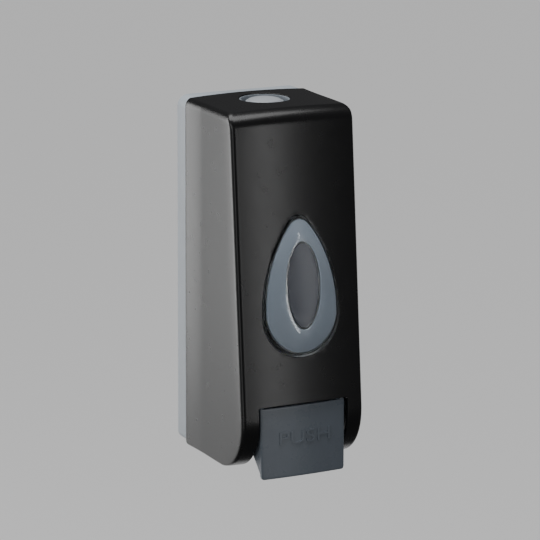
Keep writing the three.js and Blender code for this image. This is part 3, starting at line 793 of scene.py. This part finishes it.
def push_lever():
    cheek = [
        (LEVER_FOOT[0] + 1.2, LEVER_FOOT[1] + 1.2), (-66, -84.8), (-66, -72), (-72.6, -57.5),
        (-72.6, -54.6), (-79.3, -54.6), (LEVER_TOP[0] + 1.2, LEVER_TOP[1])]
    arm = [
        (LEVER_FOOT[0] + 2.2, -97), (LEVER_TOP[0] + 0.3, -84), (-62, -88.2), (-50, -87.4),
        (-42.6, -87.4), (-42.6, -90.4), (-60, -91.6)]
    cheek = rounded(cheek, [0.3, 2.5, 6, 2.5, 2.5, 1.5, 0.3], 6)
    arm = rounded(arm, [0, 0, 2, 2, 1, 1, 3])
    lever = lever_plate()
    inner = LEVER_HALF_WIDTH - 2
    pad = 2
    for side in SIDES:
        lever = join(
            lever,
            prism(cheek, mirrored(side, inner, LEVER_HALF_WIDTH - 0.02), along_x, 0.3),
            bar(mirrored(side, inner - 0.2, 27.1), pivot_y, pivot_z, 3.4),
            prism(arm, mirrored(side, 7, 10.5), along_x, 0.3),
            bar(mirrored(side, 7.1, 10.4), PAD[0], PAD[1], pad),
            box(mirrored(side, 7.1, 10.4), (PAD[0] - pad + 0.03, PAD[0] + pad - 0.03), (-89, PAD[1])))
        lever = cut(lever, bar(mirrored(side, 20, 30), pivot_y, pivot_z, LEVER_BORE))
    return join(lever, raised_word())


# ---- Pump, from the reservoir's neck down ----

def pump_collar():
    """The cap nut on the neck, with upright grips around it."""
    outer, lip, inside = collar_high[0], 9.5, 15.5
    low, high = collar_low[2], collar_high[2]
    grips = 36

    def rib(angle, points):
        side = (points[:, 0] > outer - 0.6) & (points[:, 1] > low + 1) & (points[:, 1] < high - 1)
        return np.where(side, -0.012 * (0.5 + 0.5 * cos(grips * angle)) ** 3, 0)

    wall = [(outer, z) for z in np.linspace(low + 0.6, high - 0.5, 6)]
    profile = [(lip, low), (outer - 0.6, low)] + wall + [(outer - 0.4, high), (inside, high)]
    profile += [(inside, low + 1.9), (lip, low + 1.9)]
    return turned(profile, pump_y, grips * 8, 0.2, rib)


def neck_gasket():
    profile = [(10.5, -67.3), (14.8, -67.3), (14.8, -66.3), (10.5, -66.3)]
    return turned(profile, pump_y, 96, 0.25)


def pump_body():
    outer, bore, flange = 9, 7.3, 14.6
    top, foot = pump_high[2], pump_low[2]
    profile = [(0, top), (outer - 0.6, top), (outer, top - 0.6), (outer, foot + 1.5)]
    profile += [(flange, foot + 1.5), (flange, foot), (bore, foot), (bore, top - 1.8), (0, top - 1.8)]
    body = turned(profile, pump_y, 96, 0.2)
    holes = [post(0, pump_y, 1.3, (top - 3, top + 2), 32)]
    for i in range(4):
        angle = QUARTER * (i + 0.5)
        x, y = 3.2 * cos(angle), pump_y + 3.2 * sin(angle)
        holes.append(post(x, y, 0.9, (top - 3, top + 2), 24))
    return cut(body, *holes)


def inlet_valve():
    profile = [(0, -47.7), (4.8, -47.5), (4.8, -47), (1, -46.8), (1, -44.4), (1.8, -44.1), (0, -42.4)]
    return turned(profile, pump_y, 64, 0.15)


def stem_guide():
    stem, inner = 3.9, 7.0
    profile = [(stem, -70.5), (8.6, -70.5), (8.6, -69.4), (inner, -69.4), (inner, -64), (stem, -64)]
    return turned(profile, pump_y, 96, 0.2)


def plunger_stem():
    stem, wide, narrow = 3.6, 2.3, 1.5
    low, high = stem_low[2], stem_high[2]
    profile = [(narrow, high), (6.8, high), (6.8, high - 1.2), (stem, high - 1.2), (stem, -62.6)]
    profile += [(5.2, -62.6), (5.2, -63.6), (stem, -63.6), (stem, low + 0.4), (stem - 0.4, low)]
    profile += [(wide, low), (wide, -78), (narrow, -78)]
    return turned(profile, pump_y, 80, 0.2)


def piston_seal():
    """A seal ring with two sprung lips."""
    inner, outer, low, high = 3.9, 7.0, -62.3, -59.8
    profile = [(inner, low), (outer - 1, low), (outer, low + 0.25), (outer, low + 0.8)]
    profile += [(outer - 0.9, (low + high) / 2), (outer, high - 0.8), (outer, high - 0.25)]
    profile += [(outer - 1, high), (inner, high)]
    return turned(profile, pump_y, 96, 0.15)


def outlet_ball():
    radius = 1.9
    angles = np.linspace(-QUARTER, QUARTER, 33)
    profile = [(radius * cos(a), -80.3 + radius * sin(a)) for a in angles]
    profile[0] = (0, profile[0][1])
    profile[-1] = (0, profile[-1][1])
    return turned(profile, pump_y, 64, 0)


def nozzle():
    socket, flange, body, tip = 3.9, nozzle_high[0], 5.2, 3.1
    low, top = nozzle_low[2], nozzle_high[2]
    under = top - 1.6
    profile = [(socket, top), (flange, top), (flange, under), (body + 0.5, under), (body, under - 0.8)]
    profile += [(body, -96), (4.2, -98.2), (tip, low + 0.3), (tip - 0.3, low), (1.6, low)]
    profile += [(1.3, -92), (socket, -92)]
    return turned(profile, pump_y, 96, 0.3)


# ---- Reservoir ----

def reservoir_loop(inset, z, shrink=0.0):
    """The reservoir's outline at a height: its front slopes like the cover's."""
    slope = 10 * (reservoir_high[2] - z) / 110
    front = -(62 + slope) + inset + shrink
    rear = -8 - inset - shrink
    half = reservoir_high[0] - inset - shrink
    radius = 6
    corner = max(0.6, radius - inset - shrink)
    loop = []
    for cx, cy, start in (
            (half - corner, front + corner, -QUARTER), (half - corner, rear - corner, 0),
            (-half + corner, rear - corner, QUARTER), (-half + corner, front + corner, pi)):
        for t in np.linspace(start, start + QUARTER, 12):
            loop.append((cx + corner * cos(t), cy + corner * sin(t), z))
    return np.array(loop)


def reservoir_block(inset, low, high, edge=0.0, top_edge=0.0):
    """The reservoir filled in, with its lower and upper edges rounded."""
    foot_round = quarter_round(edge, 8) if edge else [(0, 0)]
    top_round = quarter_round(top_edge, 6)[::-1] if top_edge else [(0, 0)]
    rows = [reservoir_loop(inset, low + rise, shrink) for rise, shrink in foot_round]
    rows += [reservoir_loop(inset, z) for z in np.linspace(low + edge, high - top_edge, 14)[1:-1]]
    rows += [reservoir_loop(inset, high - fall, shrink) for fall, shrink in top_round]
    return skin(rows)


def reservoir():
    skin_depth, floor, rim = 1.6, -50, reservoir_high[2]
    neck, mouth = 15, 13
    end = reservoir_low[2]
    outer = reservoir_block(0, floor, rim, 3)
    profile = [(0, end), (neck - 0.4, end), (neck, end + 0.5)]
    for z in (-65, -62, -59):
        profile += [(neck, z - 0.3), (neck + 0.25, z + 0.2), (neck + 0.25, z + 0.8), (neck, z + 1.3)]
    profile += [(neck, -53.5), (neck, floor + 1), (0, floor + 1)]
    outer = join(outer, turned(profile, pump_y, 96, 0.15))
    inner = reservoir_block(skin_depth, floor + skin_depth, rim + 5, 1.4)
    return cut(outer, inner, post(0, pump_y, mouth, (end - 1, floor + 3), 96))


def reservoir_lid():
    low, high = reservoir_high[2] + GAP, lid_high[2]
    wall = 1.6 + GAP
    top = reservoir_block(0, low, high, 0, 0.6)
    plug = reservoir_block(wall, low - 4, low + 0.5, 0.4)
    tab = [(-8, lid_low[1]), (8, lid_low[1]), (8, -61), (-8, -61)]
    top = join(top, plug, prism(rounded(tab, [1.2, 1.2, 0, 0]), (low, high - 0.05), along_z, 0.3))
    hollow = reservoir_block(3.2, low - 5, low - 0.01)
    return cut(top, hollow, post(22, -20, 1, (low - 6, high + 1), 32))


def neck_bracket():
    face, rear = -5.3, -7.5
    shelf = [(-25, -63), (25, -63), (25, face), (-25, face)]
    body = prism(rounded(shelf, [3, 3, 0, 0]), (-52.6, -50.4), along_z)
    upright = [(-25, -68), (25, -68), (25, -50.5), (-25, -50.5)]
    body = join(body, prism(rounded(upright, [3, 3, 0, 0]), (rear, face - 0.01), along_y))
    gusset = [(face - 1, -66), (face - 1, -51), (-26, -51)]
    for side in SIDES:
        body = join(body, prism(rounded(gusset, 0.8), mirrored(side, 23, 24.95), along_x))
    body = cut(
        body,
        post(0, pump_y, 15.5, (-54, -49), 96),
        *(peg(side * BRACKET_SCREW_X, BRACKET_SCREW_Z, 1.8, (-9, -4)) for side in SIDES))
    return bevelled(body, 0.35)


# ---- Back plate ----

def plate_outline(inset):
    half_x, half_z = plate_high[0] - inset, plate_high[2] - inset
    outline = [(-half_x, -half_z), (half_x, -half_z), (half_x, half_z), (-half_x, half_z)]
    loop = []
    for (u, v), radius, start in zip(outline, (4, 4, 6.5, 6.5), (pi, -QUARTER, 0, QUARTER)):
        r = radius - inset
        cu, cv = u - copysign(r, u), v - copysign(r, v)
        loop += [(cu + r * cos(t), cv + r * sin(t))
                 for t in np.linspace(start, start + QUARTER, 14)]
    return np.array(loop)


def plate_tray():
    """A shallow tray whose rim edges are rounded."""
    rim, panel, edge, depth = 2, 2.5, 0.7, 11
    turn = quarter_round(edge, 7)
    rings = [(inward * 0.5, -out * 0.5) for out, inward in turn]
    rings += [(inward, -depth + out) for inward, out in turn]
    rings += [(rim - inward, -depth + out) for out, inward in turn]
    rings += [(rim + 0.2, -panel - 0.6), (rim + 0.8, -panel)]
    rows = []
    for inset, y in rings:
        loop = plate_outline(inset)
        rows.append(np.column_stack([loop[:, 0], np.full(len(loop), y), loop[:, 1]]))
    return skin(rows)


def back_plate():
    catch, tip, panel = 79.5, -30, -2.5
    whole = plate_tray()
    for x in (-14, 14):
        whole = join(whole, box((x - 1, x + 1), (-7.7, panel + 0.5), (-40, 60)))
    arm = [(-1, catch - 9), (-1, catch + 3), (tip, catch + 3), (tip, catch - 2), (tip + 2.5, catch - 2),
           (tip + 2.5, catch), (-10, catch)]
    arm = rounded(arm, [0, 0, 1, 0.5, 0.5, 0.3, 2])
    whole = join(whole, prism(arm, (-5, 5), along_x, 0.3))
    for side in SIDES:
        whole = join(
            whole,
            peg(side * BRACKET_SCREW_X, BRACKET_SCREW_Z, 4, (-5, -1)),
            bar(mirrored(side, 28.8, 32.2), hinge_y, hinge_z, HINGE_RADIUS - 0.1),
            box(mirrored(side, 28.85, 32.15), (hinge_y, -1), (hinge_z - 2.35, hinge_z + 2.85)))
        whole = cut(
            whole,
            bar(mirrored(side, 28.4, 33), hinge_y, hinge_z, HINGE_BORE),
            peg(side * BRACKET_SCREW_X, BRACKET_SCREW_Z, 1.8, (-6, -1.1)))
        x = side * SLOT_X
        for z in (-SLOT_Z, SLOT_Z):
            slot = [(x - 2.5, z - 4.5), (x + 2.5, z - 4.5), (x + 2.5, z + 4.5), (x - 2.5, z + 4.5)]
            whole = join(whole, peg(x, z, 7, (-4, -1)))
            whole = cut(whole, prism(rounded(slot, 2.49, 10), (-8, 1), along_y))
    return whole


# ---- Materials ----

class Nodes:
    """A material's node tree, with short ways to add and join nodes."""

    def __init__(self, name):
        self.material = bpy.data.materials.new(name)
        self.material.use_nodes = True
        self.tree = self.material.node_tree
        self.shader = self.tree.nodes["Principled BSDF"]
        self.output = self.tree.nodes["Material Output"]
        self.place = self.add("ShaderNodeTexCoord").outputs["Object"]

    def add(self, kind, **settings):
        node = self.tree.nodes.new(kind)
        for key, value in settings.items():
            setattr(node, key, value)
        return node

    def link(self, source, target):
        self.tree.links.new(source, target)

    def feed(self, source, socket):
        self.link(source, self.shader.inputs[socket])

    def noise(self, size, detail=2.0, roughness=0.5, stretch=(1, 1, 1)):
        """Noise whose largest grain is about size millimetres."""
        mapping = self.add("ShaderNodeMapping")
        mapping.inputs["Scale"].default_value = stretch
        self.link(self.place, mapping.inputs["Vector"])
        node = self.add("ShaderNodeTexNoise")
        node.inputs["Scale"].default_value = 1 / (size * MM)
        node.inputs["Detail"].default_value = detail
        node.inputs["Roughness"].default_value = roughness
        self.link(mapping.outputs["Vector"], node.inputs["Vector"])
        return node.outputs["Fac"]

    def ranged(self, value, low, high, start=0.3, end=0.7):
        node = self.add("ShaderNodeMapRange")
        for key, number in (("From Min", start), ("From Max", end), ("To Min", low), ("To Max", high)):
            node.inputs[key].default_value = number
        self.link(value, node.inputs["Value"])
        return node.outputs["Result"]

    def blend(self, factor, first, second):
        node = self.add("ShaderNodeMix", data_type="RGBA")
        self.link(factor, node.inputs["Factor"])
        for socket, colour in ((node.inputs["A"], first), (node.inputs["B"], second)):
            if isinstance(colour, tuple):
                socket.default_value = (*colour, 1)
            else:
                self.link(colour, socket)
        return node.outputs["Result"]

    def edges(self):
        """High where the surface is convex."""
        pointed = self.add("ShaderNodeNewGeometry").outputs["Pointiness"]
        return self.ranged(pointed, 0, 1, 0.56, 0.72)

    def bump(self, height, strength, depth):
        node = self.add("ShaderNodeBump")
        node.inputs["Strength"].default_value = strength
        node.inputs["Distance"].default_value = depth * MM
        self.link(height, node.inputs["Height"])
        self.feed(node.outputs["Normal"], "Normal")


def scaled(colour, factor):
    return tuple(min(1.0, c * factor) for c in colour)


def moulded(name, colour, roughness, grain=0.35, depth=0.012, variation=0.08, wear=1.25, uneven=0.035,
             grip=0.35, specular=0.5):
    """Moulded plastic: a fine etched grain, faint flow marks and slightly polished edges."""
    n = Nodes(name)
    flow = n.noise(28, 3, 0.55, (1, 1, 0.35))
    body = n.blend(n.ranged(flow, 0, 1), scaled(colour, 1 - variation), scaled(colour, 1 + variation))
    fine = n.noise(grain, 3, 0.6)
    worn = n.add("ShaderNodeMath", operation="MULTIPLY")
    n.link(n.edges(), worn.inputs[0])
    n.link(n.ranged(n.noise(3, 2), 0.1, 0.6), worn.inputs[1])
    n.feed(n.blend(worn.outputs["Value"], body, scaled(colour, wear)), "Base Color")
    patches = n.noise(9, 4, 0.6)
    n.feed(n.ranged(patches, roughness - uneven, roughness + uneven), "Roughness")
    n.shader.inputs["Specular IOR Level"].default_value = specular
    n.bump(fine, grip, depth)
    return n.material


def milky(name):
    """Blow-moulded polyethylene: soft, faintly streaked and a little translucent."""
    n = Nodes(name)
    streaks = n.noise(14, 4, 0.6, (1, 1, 0.18))
    n.feed(n.blend(n.ranged(streaks, 0, 1), (0.72, 0.72, 0.69), (0.82, 0.82, 0.79)),
           "Base Color")
    n.feed(n.ranged(n.noise(5, 3), 0.42, 0.55), "Roughness")
    n.shader.inputs["Subsurface Weight"].default_value = 0.35
    n.shader.inputs["Subsurface Radius"].default_value = (0.006, 0.006, 0.005)
    n.shader.inputs["Subsurface Scale"].default_value = 0.5
    n.bump(n.noise(2.5, 3), 0.25, 0.05)
    return n.material


def rubber(name):
    n = Nodes(name)
    n.feed(n.blend(n.ranged(n.noise(2, 3), 0, 1), (0.022, 0.022, 0.023), (0.036, 0.036, 0.037)),
           "Base Color")
    n.feed(n.ranged(n.noise(1.2, 3), 0.62, 0.8), "Roughness")
    n.bump(n.noise(0.25, 3), 0.4, 0.02)
    return n.material


def steel(name):
    """Drawn stainless steel, with fine turning marks."""
    n = Nodes(name)
    n.feed(n.blend(n.ranged(n.noise(2.2, 4), 0, 1), (0.5, 0.5, 0.5), (0.64, 0.64, 0.63)),
           "Base Color")
    n.feed(n.ranged(n.noise(0.8, 3, stretch=(1, 1, 6)), 0.22, 0.34), "Roughness")
    n.shader.inputs["Metallic"].default_value = 1
    n.bump(n.noise(0.3, 2, stretch=(1, 1, 5)), 0.2, 0.008)
    return n.material


def clear_plastic(name):
    """Clear moulded plastic that lets the lamps through to what lies under it."""
    n = Nodes(name)
    n.feed(n.blend(n.ranged(n.noise(30, 2), 0, 1), (0.86, 0.89, 0.92), (0.92, 0.94, 0.96)),
           "Base Color")
    n.feed(n.ranged(n.noise(6, 3), 0.06, 0.09), "Roughness")
    n.shader.inputs["Transmission Weight"].default_value = 1
    n.shader.inputs["IOR"].default_value = 1.42
    n.bump(n.noise(12, 2), 0.08, 0.05)
    clear = n.add("ShaderNodeBsdfTransparent")
    clear.inputs["Color"].default_value = (0.9, 0.92, 0.94, 1)
    mix = n.add("ShaderNodeMixShader")
    n.link(n.add("ShaderNodeLightPath").outputs["Is Shadow Ray"], mix.inputs["Fac"])
    n.link(n.shader.outputs["BSDF"], mix.inputs[1])
    n.link(clear.outputs["BSDF"], mix.inputs[2])
    n.link(mix.outputs["Shader"], n.output.inputs["Surface"])
    return n.material


def make_materials():
    return {
        "black_plastic": moulded(
            "satin_black", (0.0085, 0.0085, 0.009), 0.265, 0.5, 0.003, wear=1.6, uneven=0.012, grip=0.1),
        "mist_plastic": moulded("mist_grey", (0.5, 0.55, 0.6), 0.42),
        "haze_plastic": moulded("haze_grey", (0.31, 0.345, 0.385), 0.4, depth=0.008),
        "slate_plastic": moulded("slate_blue", (0.17, 0.2, 0.238), 0.28, depth=0.008, uneven=0.02),
        "pale_plastic": moulded("pale_grey", (0.46, 0.49, 0.525), 0.36),
        "clear_plastic": clear_plastic("clear"),
        "smoke_plastic": moulded("smoke_tint", (0.045, 0.045, 0.058), 0.3, depth=0.002, specular=0.25),
        "milky_plastic": milky("milky"),
        "white_plastic": moulded("plain_white", (0.74, 0.74, 0.73), 0.4, variation=0.03, wear=1.1),
        "seal_rubber": rubber("rubber"),
        "steel": steel("steel"),
    }


# ---- The pieces ----

def make_pieces():
    """Each CAD node, with the piece that stands for it."""
    singles = (
        back_plate, neck_bracket, reservoir, reservoir_lid, neck_gasket, pump_collar, pump_body,
        stem_guide, inlet_valve, plunger_stem, piston_seal, outlet_ball, nozzle, front_cover,
        window_lens, window_bezel, window_pane, button_guide, latch_button, lever_pin, push_lever)
    pieces = {make.__name__: make() for make in singles}
    for make in (hinge_pin, bracket_screw, guide_screw):
        for side, word in SIDES.items():
            pieces[f"{make.__name__}_{word}"] = make(side)
    pieces["pump_spring"] = coil(pump_y, 6.1, 0.9, 4, -58, -46.8)
    pieces["outlet_spring"] = coil(pump_y, 1.7, 0.4, 6, -91.6, -82.6)
    pieces["latch_spring"] = coil(BUTTON_Y, 7, 0.8, 5, 85.8, 95.2)
    return pieces


def shade(obj, angle):
    """Smooth faces with sharp edges kept."""
    obj.data.shade_smooth()
    obj.data.set_sharp_from_angle(angle=radians(angle))


materials = make_materials()
slots = {part["node"]: part["material_slot"] for part in frame["record"]["subparts"]}
bodies = {node: body for body, nodes in frame["record"]["behaviour"]["bodies"].items() for node in nodes}
edge_angles = {"front_cover": 13, "window_lens": 30}
plain_edge_angle = 32

for node, piece in make_pieces().items():
    piece.name = piece.data.name = f"{node}_form"
    piece.data.materials.clear()
    piece.data.materials.append(materials[slots[node]])
    shade(piece, edge_angles.get(node, plain_edge_angle))
    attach(piece, bodies[node])
    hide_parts(node)
    if node == "pump_spring":
        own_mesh(piece)
    if node == "latch_spring":
        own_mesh(piece)


# ---- Floor, light and camera ----

def pale_floor():
    """A plain pale floor, behind the wall plane and well below the object."""
    level = -0.8
    x0, x1, y0, y1 = -12, 12, 0.3, 16
    mesh = bpy.data.meshes.new("floor")
    corners = [(x0, y0, level), (x1, y0, level), (x1, y1, level), (x0, y1, level)]
    mesh.from_pydata(corners, [], [(0, 1, 2, 3)])
    floor = linked("floor", mesh)
    material = bpy.data.materials.new("floor_paint")
    material.use_nodes = True
    shader = material.node_tree.nodes["Principled BSDF"]
    shader.inputs["Base Color"].default_value = (0.8, 0.8, 0.8, 1)
    shader.inputs["Roughness"].default_value = 0.9
    shader.inputs["Specular IOR Level"].default_value = 0.1
    mesh.materials.append(material)


def world_light(seen, given):
    """A pale surround for the camera and a dimmer one for the object."""
    world = bpy.data.worlds.new("studio")
    bpy.context.scene.world = world
    world.use_nodes = True
    nodes, links = world.node_tree.nodes, world.node_tree.links
    surround = nodes["Background"]
    surround.inputs["Color"].default_value = (*given, 1)
    shown = nodes.new("ShaderNodeBackground")
    shown.inputs["Color"].default_value = (*seen, 1)
    mix = nodes.new("ShaderNodeMixShader")
    path = nodes.new("ShaderNodeLightPath")
    links.new(path.outputs["Is Camera Ray"], mix.inputs["Fac"])
    links.new(surround.outputs["Background"], mix.inputs[1])
    links.new(shown.outputs["Background"], mix.inputs[2])
    links.new(mix.outputs["Shader"], nodes["World Output"].inputs["Surface"])


def soft_box(name, place, aim, size, power):
    """A rectangular area light, in metres and watts."""
    light = bpy.data.lights.new(name, "AREA")
    light.shape = "RECTANGLE"
    light.size, light.size_y = size
    light.energy = power
    obj = linked(name, light)
    obj.location = place
    obj.rotation_euler = (Vector(aim) - Vector(place)).to_track_quat("-Z", "Y").to_euler()


def overhead_sun(strength, spread):
    light = bpy.data.lights.new("overhead", "SUN")
    light.energy = strength
    light.angle = radians(spread)
    back_tilt, left_tilt = -12, -14
    linked("overhead", light).rotation_euler = (radians(back_tilt), radians(left_tilt), 0)


def camera():
    azimuth, elevation, roll = (radians(v) for v in (26.46, 13.85, 0.28))
    distance, across, up_by = 1666.43, -1.74, 4.87
    aim = np.array([0.0, pump_y, 0.0])
    forward = np.array([
        sin(azimuth) * cos(elevation), cos(azimuth) * cos(elevation),
        -sin(elevation)])
    right = np.array([cos(azimuth), -sin(azimuth), 0])
    up = np.cross(right, forward)
    place = aim + right * across + up * up_by - forward * distance
    rolled_right = right * cos(roll) + up * sin(roll)
    rolled_up = up * cos(roll) - right * sin(roll)
    data = bpy.data.cameras.new("camera")
    data.lens = 200.5
    data.sensor_width = 36
    data.clip_end = 50
    obj = linked("camera", data)
    turn = Matrix((rolled_right, rolled_up, -forward)).transposed().to_4x4()
    obj.matrix_world = Matrix.Translation(Vector(place * MM)) @ turn
    bpy.context.scene.camera = obj


pale_floor()
world_light(seen=(0.68, 0.69, 0.7), given=(0.07, 0.07, 0.072))
overhead_sun(2.1, 50)
soft_box("left_rear", (-1.29, 1.72, 0.2), (0, 0, 0.2), (0.37, 1.7), 13.5)
soft_box("left_side", (-2.05, -0.47, 0.7), (0, 0, 0), (0.8, 0.8), 5)
soft_box("left_front", (-1.74, -1.26, 0.0), (0, 0, 0), (0.8, 1.8), 5)
soft_box("overhead_front", (0.3, -0.3, 1.4), (0, 0, 0), (0.7, 0.6), 5.6)
soft_box("front_strip", (0.78, -2.3, 0.1), (0, 0, 0), (0.12, 1.4), 5)
camera()
